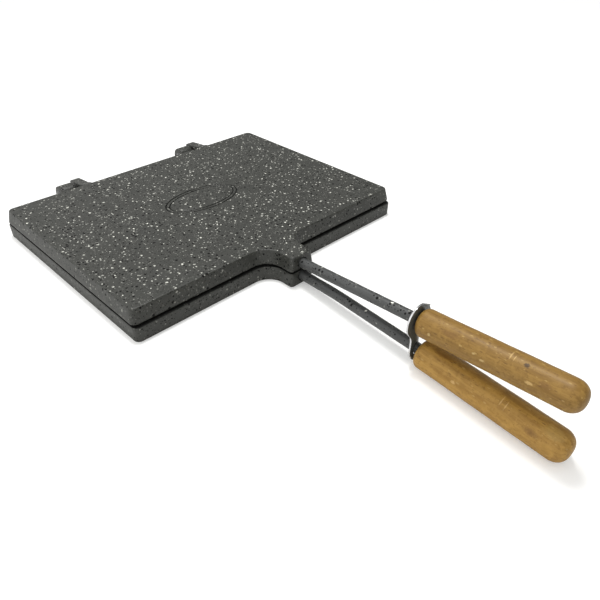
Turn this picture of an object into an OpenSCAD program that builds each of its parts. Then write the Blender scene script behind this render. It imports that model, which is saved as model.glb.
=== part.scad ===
// Pie iron: two shallow cast plates hinged at the back, two rod handles with wooden
// grips, and a sheet latch that turns on the upper rod and hooks the lower one.
// X runs along the hinge, the handles point to -Y, and Z is up. The origin is the
// middle of the flat underside of the lower plate.

/* [Plates] */
// Length of the flat outer face of a plate, along the hinge
face_w = 250; // [180:1:320]
// Depth of the flat outer face of a plate, from hinge side to handle side
face_d = 183; // [140:1:240]
// Thickness of one plate, from its flat face to the parting line
plate_t = 12; // [10.5:0.5:18]
// How far the rim stands out beyond the face at the two short sides
side_draft = 1.9; // [0.5:0.1:5]
// How far the rim stands out beyond the face at the hinge and handle sides
end_draft = 1.9; // [0.5:0.1:5]
// How far the lower plate's rim stands out beyond the upper plate's at those two sides
ledge = 1.8; // [0:0.1:2]
// Share of the upper plate's slope that the walls of the lower plate have
lower_slope_share = 0.1; // [0:0.1:1]
// Corner radius of the plates, seen from above
corner_r = 4; // [2:0.5:12]
// Rounding of the rim where the two plates meet
rim_r = 2; // [1:0.1:2.4]
// Width of the flat rim that closes on the other plate
land_w = 6.5; // [4:0.5:12]
// Depth of the cooking hollow in each plate
hollow_depth = 7; // [3:0.5:8]
// Slope of the hollow's walls, as run over its depth
hollow_draft = 2.5; // [0.5:0.5:5]

/* [Neck] */
// Width of the neck that holds a rod
neck_w = 22; // [18:0.5:30]
// How far the neck reaches out from the rim
neck_len = 23; // [20:0.5:40]
// Radius of the neck's outer corners, seen from above
tip_r = 2.5; // [1:0.5:4]
// Radius of the hollow corner between neck and rim
neck_fillet = 13.5; // [6:0.5:16]
// Sideways place of the handles from the middle of the plates
handle_x = -3; // [-10:0.5:10]

/* [Oval frame] */
// Half of the length of the oval on the upper plate
oval_a = 33.5; // [20:0.1:45]
// Half of the width of the oval
oval_b = 18.6; // [10:0.1:24]
// Sideways place of the oval from the middle of the plate
oval_x = -0.8; // [-20:0.1:20]
// Place of the oval from the middle of the plate, towards the hinge
oval_y = 2; // [-20:0.1:20]
// Space between its two grooves
oval_step = 3; // [2:0.5:5]
// Width of a groove
groove_w = 0.9; // [0.5:0.1:1.5]
// Depth of a groove
groove_depth = 0.6; // [0.3:0.1:1]

/* [Hinges] */
// Distance between the middles of the two hinges
hinge_pitch = 125; // [80:1:160]
// Distance of the pin behind the rim
hinge_back = 15.8; // [12:0.2:20]
// Outer radius of the hinge eyes
eye_r = 8; // [6:0.1:8.5]
// Width of the lower plate's eye
low_eye_w = 12.5; // [8:0.5:16]
// Width of the upper plate's eye
top_eye_w = 8.5; // [6:0.5:16]
// Space between the two eyes of a hinge
eye_gap = 2; // [0.5:0.1:4]
// Diameter of the hinge pins
pin_d = 5; // [4:0.5:8]
// Diameter of the peened heads of the pins
pin_head_d = 8; // [7:0.5:11]
// Thickness of a peened head
pin_head_t = 1.4; // [0.8:0.1:3]
// Side play between the far head and the upper plate's eye
head_play = 0.4; // [0.2:0.1:1]
// Radial clearance of the pin in the upper plate's eye
pin_clearance = 0.1; // [0.05:0.01:0.3]

/* [Rods] */
// Diameter of the two rods
rod_d = 7.5; // [6:0.1:8.5]
// Depth of the socket for a rod in its neck
socket_depth = 14; // [10:0.5:17.5]
// Metal left between the upper socket's inner end and the parting line
upper_socket_wall = 0.55; // [0.3:0.05:1.2]
// Metal left between the lower socket's inner end and the parting line
lower_socket_wall = 1.2; // [0.3:0.1:1.4]
// How far the countersink at a socket's mouth is wider than the rod, on the radius
mouth_step = 0.8; // [0.4:0.1:1.2]
// Depth of that countersink
mouth_depth = 1.5; // [0.5:0.1:3]
// Length of rod between the neck and the upper grip
rod_free = 102.4; // [60:0.1:160]
// How much longer the lower rod is than the upper one, in front of its grip
lower_extra = 3; // [0:0.5:8]
// Length of rod inside the grip
rod_tang = 46; // [20:1:70]
// Slope of the upper rod away from the parting line, in degrees
upper_slope = 2.9; // [1:0.05:5]
// Slope of the lower rod away from the parting line at its neck, in degrees
lower_slope = 0.9; // [0:0.1:2]
// Bend in the lower rod, in degrees
lower_bend = 3.4; // [3:0.1:7]
// Distance of that bend from the neck
bend_place = 32; // [15:1:60]

/* [Grips] */
// Length of a wooden grip
grip_len = 101.5; // [80:1:140]
// Diameter of a grip near its front
grip_front_d = 18.8; // [16:0.1:19.2]
// Largest diameter of a grip
grip_d = 19; // [16:0.1:19.4]
// How much thicker the lower grip is than the upper one
lower_grip_extra = 1.4; // [0:0.1:2]
// How far the middle of the upper grip lies above its rod
upper_grip_lift = 0.4; // [0:0.1:2]
// How far the middle of the lower grip's front lies below its rod
lower_grip_drop = 0.5; // [0:0.1:2]
// Slope of the lower grip below its rod, in degrees
lower_grip_tilt = 1.2; // [0:0.1:2]
// Rounding of the front edge of a grip
grip_front_r = 4; // [2:0.5:6]
// Length of the rounded end of a grip
grip_nose = 9; // [5:0.5:14]
// Distance of the thickest place of a grip in front of its rounded end
swell_back = 14; // [8:1:20]

/* [Latch] */
// Thickness of the latch sheet
latch_t = 1.2; // [0.8:0.1:2]
// Radius of the latch's round upper part
latch_r = 11.8; // [11:0.1:13]
// How far the round part stands to the left of the upper rod
lobe_left = 0.6; // [0:0.1:2]
// Radial clearance of the latch's hole and hook on the rods
latch_clearance = 0.3; // [0.15:0.05:0.6]
// Width of the arm beside the lower rod
arm_w = 3.6; // [2.5:0.1:5]
// Height of the hook under the lower rod
lip_h = 3.9; // [3:0.1:6]
// Space between the latch and the upper grip
latch_gap = 0.9; // [0.6:0.1:3]
// Length of the latch's bent thumb tab
tab_len = 2; // [1:0.1:4]

/* [Hidden] */

eps = 0.01;
// How deep shapes that are joined are sunk into each other
bury = 1;
parting_z = plate_t;
rim_w = face_w + 2 * side_draft;
rim_d = face_d + 2 * (end_draft + ledge);
rim_round = min(rim_r, plate_t / 4);
// The widest line of the rim lies one rounding away from the parting line
belt_z = plate_t - rim_round;
arc_steps = 5;
// Share of the rim's rounding that is cut back in plan
rim_lean = 0.9;
// Share of the plates' end draft that the neck's sides and its tip have
neck_side_share = 0.8;
neck_tip_share = 0.4;
// Corner radii of the hollow at its mouth and at its floor, seen from above
mouth_corner = corner_r + 3;
floor_corner = corner_r + 2;
oval_sides = 60;
// Half of the height that the hinge arms keep clear of the parting line
arm_gap = 1.2;
// Thickness that the lower hinge arm leaves off at the plate's flat face, and the upper one
low_arm_step = 1.2;
top_arm_step = 0.4;

hinge_y = rim_d / 2 + hinge_back;
neck_tip_y = -rim_d / 2 - neck_len;
neck_root_y = -face_d / 2 + bury;
rod_r = rod_d / 2;
hinge_w = low_eye_w + eye_gap + top_eye_w;
// The bend in the lower rod is a ball a hair wider than the rod, with both rod ends inside it
bend_swell = 0.04;
bend_gap = 0.35;
upper_rod_rise = rod_r + upper_socket_wall + socket_depth * sin(upper_slope);
lower_rod_drop = rod_r + lower_socket_wall + socket_depth * sin(lower_slope);
latch_place = rod_free - latch_gap - latch_t / 2;

coating = [0.27, 0.27, 0.26];
coated_rod = [0.31, 0.31, 0.30];
steel = [0.55, 0.55, 0.56];
chrome = [0.80, 0.80, 0.82];
wood = [0.63, 0.46, 0.25];

// Inset of a plate's side at height z above its flat face, for a rim that stands out by draft
function rounding_inset(z) =
    z <= belt_z ? 0 : rim_round - sqrt(max(0, pow(rim_round, 2) - pow(z - belt_z, 2)));
function side_inset(z, draft) = draft * max(0, 1 - z / belt_z) + rim_lean * rounding_inset(z);
layer_heights = concat([0], [for (i = [0:arc_steps]) belt_z + rim_round * sin(90 * i / arc_steps)]);

module rect_layer(z, w, d, r) {
    translate([0, 0, z - (z > 1 ? eps : 0)]) linear_extrude(eps) polygon([
        for (c = [[1, 1, 0], [-1, 1, 90], [-1, -1, 180], [1, -1, 270]], a = [0:15:90])
            [c[0] * (w / 2 - r) + r * cos(c[2] + a), c[1] * (d / 2 - r) + r * sin(c[2] + a)]]);
}

// One plate with its flat face on z = 0 and the parting line on top, without neck or eyes;
// its ends lie back from the widest rim, and slope is the share of the draft that its walls have
module plate_body(back, slope) {
    difference() {
        hull() for (z = layer_heights)
            rect_layer(z, rim_w - 2 * side_inset(z, side_draft * slope),
                rim_d - 2 * (back + side_inset(z, end_draft * slope)),
                corner_r - 0.5 * rounding_inset(z));
        hull() {
            rect_layer(plate_t - hollow_depth, rim_w - 2 * (land_w + hollow_draft),
                rim_d - 2 * (land_w + hollow_draft), floor_corner);
            rect_layer(plate_t + 1, rim_w - 2 * land_w, rim_d - 2 * land_w, mouth_corner);
        }
    }
}

// Outline of a drafted wall: the part of a section that lies behind a rim line at 0
function wall_profile(draft) = [for (z = layer_heights) [-side_inset(z, draft), z]];

module neck_block(slope) {
    half = neck_w / 2;
    sides = wall_profile(end_draft * neck_side_share * slope);
    front = wall_profile(end_draft * neck_tip_share * slope);
    intersection() {
        translate([handle_x, neck_root_y + eps, 0]) rotate([90, 0, 0])
            linear_extrude(neck_root_y - neck_tip_y + 2)
                polygon(concat([for (p = sides) [half + p[0], p[1]]],
                    [for (i = [len(sides) - 1:-1:0]) [-half - sides[i][0], sides[i][1]]]));
        translate([handle_x - neck_w, 0, 0]) rotate([90, 0, 90]) linear_extrude(2 * neck_w)
            polygon(concat([for (p = front) [neck_tip_y - p[0], p[1]]],
                [[neck_root_y, plate_t], [neck_root_y, 0]]));
        translate([handle_x, neck_tip_y, 0]) linear_extrude(plate_t) polygon(concat(
            [for (a = [180:15:270]) [tip_r - half + tip_r * cos(a), tip_r + tip_r * sin(a)]],
            [for (a = [270:15:360]) [half - tip_r + tip_r * cos(a), tip_r + tip_r * sin(a)]],
            [[half, neck_root_y - neck_tip_y], [-half, neck_root_y - neck_tip_y]]));
    }
}

// The hollow corner between neck and rim; side is -1 or 1
module neck_corner(side, back, slope) {
    wall = wall_profile(end_draft * slope);
    reach = end_draft + ledge + bury;
    centre = [handle_x + side * (neck_w / 2 + neck_fillet), back - rim_d / 2 - neck_fillet];
    difference() {
        translate([min(centre[0], centre[0] - side * (neck_fillet + reach)), centre[1], 0])
            cube([neck_fillet + reach, neck_fillet + reach, plate_t]);
        translate([centre[0], centre[1], 0]) rotate_extrude($fn = 96)
            polygon(concat([[0, -1], [neck_fillet - wall[0][0], -1]],
                [for (p = wall) [neck_fillet - p[0], p[1]]],
                [[neck_fillet - wall[len(wall) - 1][0], plate_t + 1], [0, plate_t + 1]]));
    }
}

module neck(back, slope) {
    neck_block(slope);
    for (side = [-1, 1]) neck_corner(side, back, slope);
}

module place_hinges() {
    for (side = [-1, 1]) translate([side * hinge_pitch / 2 - hinge_w / 2, hinge_y, parting_z])
        children();
}

// A plate extruded along X, from an outline given in y and z
module slab_x(w, outline) {
    rotate([90, 0, 90]) linear_extrude(w) polygon(outline);
}

module low_eye() {
    back = -hinge_back - end_draft - ledge - bury;
    difference() {
        union() {
            rotate([0, 90, 0]) cylinder(r = eye_r, h = low_eye_w, $fn = 72);
            slab_x(low_eye_w, [[back, low_arm_step - plate_t], [back, -arm_gap],
                [-eye_r * 0.6, -arm_gap], [0, 0], [0, -eye_r], [-eye_r * 0.5, -eye_r * 1.075]]);
        }
        translate([-1, 0, 0]) rotate([0, 90, 0]) cylinder(d = pin_d, h = low_eye_w + 2, $fn = 48);
    }
}

module top_eye() {
    back = -hinge_back - end_draft - ledge - bury;
    difference() {
        union() {
            rotate([0, 90, 0]) cylinder(r = eye_r, h = top_eye_w, $fn = 72);
            slab_x(top_eye_w, [[back, arm_gap], [back, plate_t - top_arm_step],
                [eye_r * 0.45, eye_r * 1.0125], [eye_r * 0.85, eye_r * 0.88],
                [eye_r, eye_r * 0.5], [eye_r, 0], [-eye_r * 0.8, arm_gap]]);
        }
        translate([-1, 0, 0]) rotate([0, 90, 0])
            cylinder(d = pin_d + 2 * pin_clearance, h = top_eye_w + 2, $fn = 48);
    }
}

// Children are drawn with the rod along +Z from the neck's tip, for the upper or lower rod
module along_upper_rod() {
    translate([handle_x, neck_tip_y, parting_z + upper_rod_rise])
        rotate([90 - upper_slope, 0, 0]) children();
}

module along_lower_rod() {
    translate([handle_x, neck_tip_y, parting_z - lower_rod_drop])
        rotate([90 + lower_slope, 0, 0]) children();
}

// Children are drawn with the lower rod's far part along +Z, from its bend
module past_bend() {
    translate([0, 0, bend_place]) rotate([lower_bend, 0, 0]) children();
}

module socket() {
    translate([0, 0, -socket_depth]) cylinder(d = rod_d, h = socket_depth + 5, $fn = 64);
    translate([0, 0, -mouth_depth])
        cylinder(d = rod_d + 2 * mouth_step, h = mouth_depth + 5, $fn = 64);
}

module straight_rod(from, to) {
    translate([0, 0, from]) cylinder(d = rod_d, h = to - from, $fn = 64);
}

module lower_plate() {
    color(coating) difference() {
        union() {
            plate_body(0, lower_slope_share);
            neck(0, lower_slope_share);
            place_hinges() low_eye();
        }
        along_lower_rod() socket();
    }
}

function oval(a, b) = [for (i = [0:oval_sides - 1]) let (t = 360 * i / oval_sides)
    [a * cos(t), b * sin(t)]];

module oval_groove(a, b) {
    translate([oval_x, oval_y, 2 * plate_t - groove_depth])
        linear_extrude(groove_depth + 1) difference() {
            polygon(oval(a, b));
            polygon(oval(a - groove_w, b - groove_w));
        }
}

module upper_plate() {
    color(coating) difference() {
        union() {
            translate([0, 0, 2 * plate_t]) mirror([0, 0, 1]) {
                plate_body(ledge, 1);
                neck(ledge, 1);
            }
            place_hinges() translate([low_eye_w + eye_gap, 0, 0]) top_eye();
        }
        along_upper_rod() socket();
        for (k = [0, 1]) oval_groove(oval_a - k * oval_step, oval_b - k * oval_step);
    }
}

module hinge_pin(side) {
    color(steel) translate([side * hinge_pitch / 2 - hinge_w / 2, hinge_y, parting_z])
        rotate([0, 90, 0]) {
            translate([0, 0, -eps]) cylinder(d = pin_d, h = hinge_w + head_play + 0.1, $fn = 48);
            translate([0, 0, -pin_head_t]) cylinder(d = pin_head_d, h = pin_head_t, $fn = 48);
            translate([0, 0, hinge_w + head_play]) cylinder(d = pin_head_d, h = pin_head_t, $fn = 48);
        }
}

module left_hinge_pin() {
    hinge_pin(-1);
}

module right_hinge_pin() {
    hinge_pin(1);
}

module lower_rod() {
    color(coated_rod) along_lower_rod() {
        straight_rod(-socket_depth, bend_place - bend_gap);
        translate([0, 0, bend_place]) sphere(d = rod_d + 2 * bend_swell, $fn = 64);
        past_bend() straight_rod(bend_gap, rod_free + lower_extra - bend_place + rod_tang);
    }
}

module upper_rod() {
    color(coated_rod) along_upper_rod() straight_rod(-socket_depth, rod_free + rod_tang);
}

// Turned grip along +Z from its flat front: a rounded front edge, a slight swell and a round nose
module grip_solid(extra) {
    front_r = (grip_front_d + extra) / 2;
    big_r = (grip_d + extra) / 2;
    edge = grip_front_r;
    swell_at = grip_len - grip_nose - swell_back;
    rotate_extrude($fn = 96) polygon(concat(
        [[0, 0]],
        [for (a = [0:15:90]) [front_r - edge + edge * sin(a), edge - edge * cos(a)]],
        [[front_r + 0.5 * (big_r - front_r), 0.45 * swell_at], [big_r, swell_at]],
        [for (a = [0:7.5:82.5]) [big_r * pow(cos(a), 0.75), grip_len - grip_nose + grip_nose * sin(a)]],
        [[0, grip_len]]));
}

module bored_grip(extra, drop, tilt) {
    difference() {
        translate([0, -drop, 0]) rotate([tilt, 0, 0]) grip_solid(extra);
        translate([0, 0, -1]) cylinder(d = rod_d, h = rod_tang + 1, $fn = 64);
    }
}

module upper_grip() {
    color(wood) along_upper_rod() translate([0, 0, rod_free]) bored_grip(0, -upper_grip_lift, 0);
}

module lower_grip() {
    color(wood) along_lower_rod() past_bend()
        translate([0, 0, rod_free + lower_extra - bend_place])
            bored_grip(lower_grip_extra, lower_grip_drop, lower_grip_tilt);
}

// Distance from the upper rod's middle to the lower rod's, in the plane of the latch
latch_y = neck_tip_y - latch_place * cos(upper_slope);
upper_z = parting_z + upper_rod_rise + latch_place * sin(upper_slope);
past_y = latch_y - neck_tip_y + bend_place;
lower_z = parting_z - lower_rod_drop - bend_place * sin(lower_slope)
    + past_y * tan(lower_slope + lower_bend);
rod_spread = (upper_z - lower_z) * cos(upper_slope);

// The tab stands this much inside the round part's edge
tab_step = 0.1;
slot_r = rod_r + latch_clearance;
// The lower rod crosses the latch at a slant, so the hook is a little wider than the hole
slant = upper_slope + lower_slope + lower_bend;
hook_r = rod_r / cos(slant) + latch_t / 2 * tan(slant) + latch_clearance;
arm_x = hook_r + arm_w;
// Left side of the latch's arm, from the round part down to the tip under the lower rod
arm_left = [[-10.3 - lobe_left, -0.2 * rod_spread], [-arm_x - 1.7, -0.36 * rod_spread],
    [-arm_x - 0.6, -0.43 * rod_spread], [-arm_x + 0.2, -0.5 * rod_spread],
    [-arm_x + 0.5, -0.58 * rod_spread], [-arm_x + 0.6, -0.66 * rod_spread],
    [-arm_x + 0.4, -0.78 * rod_spread], [-arm_x, -0.92 * rod_spread], [-arm_x, -rod_spread - 1],
    [-arm_x + 0.5, -rod_spread - 0.7 * hook_r], [-arm_x + 1.5, -rod_spread - hook_r - 0.1],
    [-arm_x + 2.8, -rod_spread - hook_r - 0.65 * lip_h],
    [-arm_x + 4, -rod_spread - hook_r - 0.93 * lip_h],
    [-arm_x + 5, -rod_spread - hook_r - lip_h], [-arm_x + 6.2, -rod_spread - hook_r - lip_h]];
// Its right side, from that tip up along the inside of the arm to the round part
arm_right = [[1.6, -rod_spread - hook_r - 0.7 * lip_h], [2.8, -rod_spread - hook_r - 0.1],
    [2.8, -rod_spread], [0.5, hook_r + 0.6 - rod_spread], [0.2, -0.6 * rod_spread],
    [1.6, -0.48 * rod_spread], [4.5, -0.36 * rod_spread], [7.5, -0.2 * rod_spread]];

// Part of a ring about the upper rod, in which the hook swings clear of the lower rod
function arc(r, from, to, n) = [for (i = [0:n]) let (a = from + (to - from) * i / n)
    [r * cos(a), r * sin(a)]];

module latch_outline() {
    difference() {
        union() {
            translate([-lobe_left, 0]) circle(r = latch_r, $fn = 120);
            polygon(concat(arm_left, arm_right));
        }
        circle(r = slot_r, $fn = 64);
        translate([0, -rod_spread]) circle(r = hook_r, $fn = 64);
        polygon(concat(arc(rod_spread - hook_r, -90, -50, 8), arc(rod_spread + hook_r, -50, -90, 8)));
    }
}

module latch_plate() {
    color(chrome) along_upper_rod() translate([0, 0, latch_place - latch_t / 2]) {
        // Seen from the grips, the outline's x is to the right and its y is up
        linear_extrude(latch_t) latch_outline();
        translate([-lobe_left, 0, 0]) rotate([0, 0, 50]) rotate_extrude(angle = 28, $fn = 120)
            translate([latch_r - latch_t - tab_step, 0]) square([latch_t, latch_t + tab_len]);
    }
}

lower_plate();
upper_plate();
left_hinge_pin();
right_hinge_pin();
lower_rod();
upper_rod();
lower_grip();
upper_grip();
latch_plate();
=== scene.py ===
import bpy
import bmesh
import math
import random
from mathutils import Matrix, Vector
from mathutils.geometry import delaunay_2d_cdt


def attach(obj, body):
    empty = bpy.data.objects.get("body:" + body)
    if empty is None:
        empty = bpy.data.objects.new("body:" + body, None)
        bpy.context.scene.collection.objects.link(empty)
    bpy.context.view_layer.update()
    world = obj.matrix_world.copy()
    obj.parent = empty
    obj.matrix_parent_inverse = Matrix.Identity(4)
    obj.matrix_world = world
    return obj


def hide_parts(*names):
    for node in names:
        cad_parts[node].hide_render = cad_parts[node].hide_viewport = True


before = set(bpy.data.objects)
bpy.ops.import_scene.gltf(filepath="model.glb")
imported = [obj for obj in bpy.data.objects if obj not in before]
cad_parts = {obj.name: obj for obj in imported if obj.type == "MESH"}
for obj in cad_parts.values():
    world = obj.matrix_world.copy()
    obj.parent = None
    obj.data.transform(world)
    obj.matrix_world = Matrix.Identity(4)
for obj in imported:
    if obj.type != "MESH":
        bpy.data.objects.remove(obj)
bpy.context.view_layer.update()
random.seed(7)

MM = 0.001
# Sizes in millimetres, the same as in the CAD part
FACE_W, FACE_D, PLATE_T = 250.0, 183.0, 12.0
SIDE_DRAFT, END_DRAFT, LEDGE, LOWER_SLOPE_SHARE = 1.9, 1.9, 1.8, 0.1
RIM_X, RIM_Y = FACE_W / 2 + SIDE_DRAFT, FACE_D / 2 + END_DRAFT + LEDGE
RIM_R = 2.0
BELT_Z = PLATE_T - RIM_R
EDGE_R = 0.8
CORNER_R = 4.0
HANDLE_X = -3.0
NECK_HALF, NECK_LEN, NECK_FILLET, TIP_R = 11.0, 23.0, 13.5, 2.5
NECK_TIP_Y = -RIM_Y - NECK_LEN
HOLLOW_X, HOLLOW_Y, HOLLOW_Z = RIM_X - 6.5, RIM_Y - 6.5, 5.0
HINGE_Y = RIM_Y + 15.8
HINGE_PITCH, LOW_EYE_W, EYE_GAP, TOP_EYE_W = 125.0, 12.5, 2.0, 8.5
HINGE_W = LOW_EYE_W + EYE_GAP + TOP_EYE_W
EYE_R = 8.0
ROD_R = 3.75
SOCKET_DEPTH = 14.0
UPPER_SLOPE, LOWER_SLOPE, LOWER_BEND = (math.radians(a) for a in (2.9, 0.9, 3.4))
UPPER_Z = PLATE_T + ROD_R + 0.55 + SOCKET_DEPTH * math.sin(UPPER_SLOPE)
LOWER_Z = PLATE_T - (ROD_R + 1.2 + SOCKET_DEPTH * math.sin(LOWER_SLOPE))
BEND_PLACE, ROD_FREE, LOWER_EXTRA, TANG = 32.0, 102.4, 3.0, 46.0
GRIP_LEN, GRIP_FRONT_R, GRIP_R, GRIP_NOSE, GRIP_EDGE = 101.5, 9.4, 9.5, 9.0, 4.0
LOWER_GRIP_EXTRA, UPPER_GRIP_LIFT, LOWER_GRIP_DROP, LOWER_GRIP_TILT = 0.7, 0.4, 0.5, 1.2
LATCH_PLACE, LATCH_T, LATCH_R, LOBE_LEFT = 100.9, 1.2, 11.8, 0.6


# Mesh helpers
def make_object(name, verts, faces, body, material, nodes=(), matrix=None, smooth_deg=35):
    """A mesh object from millimetre points, riding on a body and standing in for CAD nodes."""
    mesh = bpy.data.meshes.new(name)
    mesh.from_pydata([(x * MM, y * MM, z * MM) for x, y, z in verts], [], faces)
    bm = bmesh.new()
    bm.from_mesh(mesh)
    bmesh.ops.remove_doubles(bm, verts=bm.verts, dist=1e-6)
    bmesh.ops.recalc_face_normals(bm, faces=bm.faces)
    bm.to_mesh(mesh)
    bm.free()
    obj = bpy.data.objects.new(name, mesh)
    bpy.context.collection.objects.link(obj)
    mesh.materials.append(material)
    set_smooth(mesh, smooth_deg)
    if matrix is not None:
        obj.matrix_world = matrix
    declare(obj, body, nodes)
    return obj


def declare(obj, body, nodes):
    bpy.context.view_layer.update()
    if body:
        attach(obj, body)
    if nodes:
        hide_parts(*nodes)


def set_smooth(mesh, angle_deg):
    mesh.polygons.foreach_set("use_smooth", [True] * len(mesh.polygons))
    mesh.set_sharp_from_angle(angle=math.radians(angle_deg))


def arc_points(cx, cy, r, start, end, n):
    out = []
    for i in range(n + 1):
        a = math.radians(start + (end - start) * i / n)
        out.append((cx + r * math.cos(a), cy + r * math.sin(a)))
    return out


def joined(arcs, steps):
    """One closed loop from arcs, with straight runs between them cut into steps."""
    loop = []
    for k, arc in enumerate(arcs):
        loop += arc
        (x0, y0), (x1, y1) = arc[-1], arcs[(k + 1) % len(arcs)][0]
        for i in range(1, steps[k]):
            t = i / steps[k]
            loop.append((x0 + (x1 - x0) * t, y0 + (y1 - y0) * t))
    return loop


def plate_loop(inset_side, inset_end, extra, back=0.0):
    """Outline of a plate with its neck, drawn in from the widest rim."""
    hx, hy = RIM_X - inset_side - extra, RIM_Y - back - inset_end - extra
    hw = NECK_HALF - 0.8 * inset_end - extra
    tip = NECK_TIP_Y + 0.4 * inset_end + extra
    rc = max(0.6, CORNER_R - 0.5 * extra)
    rf, rt, c = NECK_FILLET + 0.8 * inset_end + extra, max(0.5, TIP_R - 0.5 * extra), HANDLE_X
    arcs = [
        arc_points(-hx + rc, -hy + rc, rc, 180, 270, 8),
        arc_points(c - hw - rf, -hy - rf, rf, 90, 0, 18),
        arc_points(c - hw + rt, tip + rt, rt, 180, 270, 6),
        arc_points(c + hw - rt, tip + rt, rt, 270, 360, 6),
        arc_points(c + hw + rf, -hy - rf, rf, 180, 90, 18),
        arc_points(hx - rc, -hy + rc, rc, 270, 360, 8),
        arc_points(hx - rc, hy - rc, rc, 0, 90, 8),
        arc_points(-hx + rc, hy - rc, rc, 90, 180, 8),
    ]
    return joined(arcs, [24, 4, 4, 4, 26, 44, 60, 44])


def rect_loop(hx, hy, r):
    arcs = [arc_points(sx * (hx - r), sy * (hy - r), r, a, a + 90, 8)
            for sx, sy, a in ((1, 1, 0), (-1, 1, 90), (-1, -1, 180), (1, -1, 270))]
    return joined(arcs, [50, 40, 50, 40])


def ellipse_loop(a, b, n, cx=0.0, cy=0.0):
    return [(cx + a * math.cos(2 * math.pi * i / n), cy + b * math.sin(2 * math.pi * i / n))
            for i in range(n)]


def inside(p, loop):
    x, y = p
    hit = False
    for (x0, y0), (x1, y1) in zip(loop, loop[1:] + loop[:1]):
        if (y0 > y) != (y1 > y) and x < x0 + (y - y0) * (x1 - x0) / (y1 - y0):
            hit = not hit
    return hit


class Build:
    """Collects vertices and faces of one mesh."""

    def __init__(self):
        self.verts, self.faces = [], []

    def loop(self, pts, z):
        start = len(self.verts)
        for i, p in enumerate(pts):
            self.verts.append((p[0], p[1], z[i] if isinstance(z, list) else z))
        return list(range(start, len(self.verts)))

    def ring3(self, pts):
        start = len(self.verts)
        self.verts += [tuple(p) for p in pts]
        return list(range(start, len(self.verts)))

    def bridge(self, a, b):
        n = len(a)
        for i in range(n):
            self.faces.append((a[i], a[(i + 1) % n], b[(i + 1) % n], b[i]))

    def fan(self, ring, centre):
        self.verts.append(tuple(centre))
        c = len(self.verts) - 1
        for i in range(len(ring)):
            self.faces.append((ring[i], ring[(i + 1) % len(ring)], c))

    def fill(self, loops, z, outer=0, holes=(), depth=None):
        """Triangles inside loops[outer] and outside loops[h] for h in holes. Inner loops are kept as edges."""
        pts, edges = [], []
        for loop in loops:
            n0 = len(pts)
            pts += [Vector(p) for p in loop]
            edges += [(n0 + i, n0 + (i + 1) % len(loop)) for i in range(len(loop))]
        out = delaunay_2d_cdt(pts, edges, [], 0, 1e-6)
        start = len(self.verts)
        for v in out[0]:
            self.verts.append((v.x, v.y, z if depth is None else depth(v.x, v.y, z)))
        for f in out[2]:
            c = ((sum(out[0][i].x for i in f)) / len(f), (sum(out[0][i].y for i in f)) / len(f))
            if inside(c, loops[outer]) and not any(inside(c, loops[h]) for h in holes):
                self.faces.append(tuple(start + i for i in f))


def extrude_x(build, outline, x0, x1, edge):
    """A prism along X from an outline in y and z, with rounded edges."""
    n = len(outline)
    area = sum(outline[i][0] * outline[(i + 1) % n][1] - outline[(i + 1) % n][0] * outline[i][1]
               for i in range(n))
    turn = 1 if area > 0 else -1
    normals = []
    for i in range(n):
        ax, ay = outline[i - 1]
        bx, by = outline[(i + 1) % n]
        dx, dy = bx - ax, by - ay
        size = math.hypot(dx, dy) or 1
        normals.append((dy / size * turn, -dx / size * turn))
    rings = []
    steps = 4
    for x, side in ((x0, 0), (x1, 1)):
        for k in range(steps + 1):
            a = math.pi / 2 * (k if side == 0 else steps - k) / steps
            inset, along = edge * (1 - math.sin(a)), edge * (1 - math.cos(a))
            xx = x + along if side == 0 else x - along
            rings.append(build.ring3([(xx, p[0] - q[0] * inset, p[1] - q[1] * inset)
                                      for p, q in zip(outline, normals)]))
    for a, b in zip(rings, rings[1:]):
        build.bridge(a, b)
    for ring in (rings[0], rings[-1]):
        build.faces.append(tuple(ring))


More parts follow.
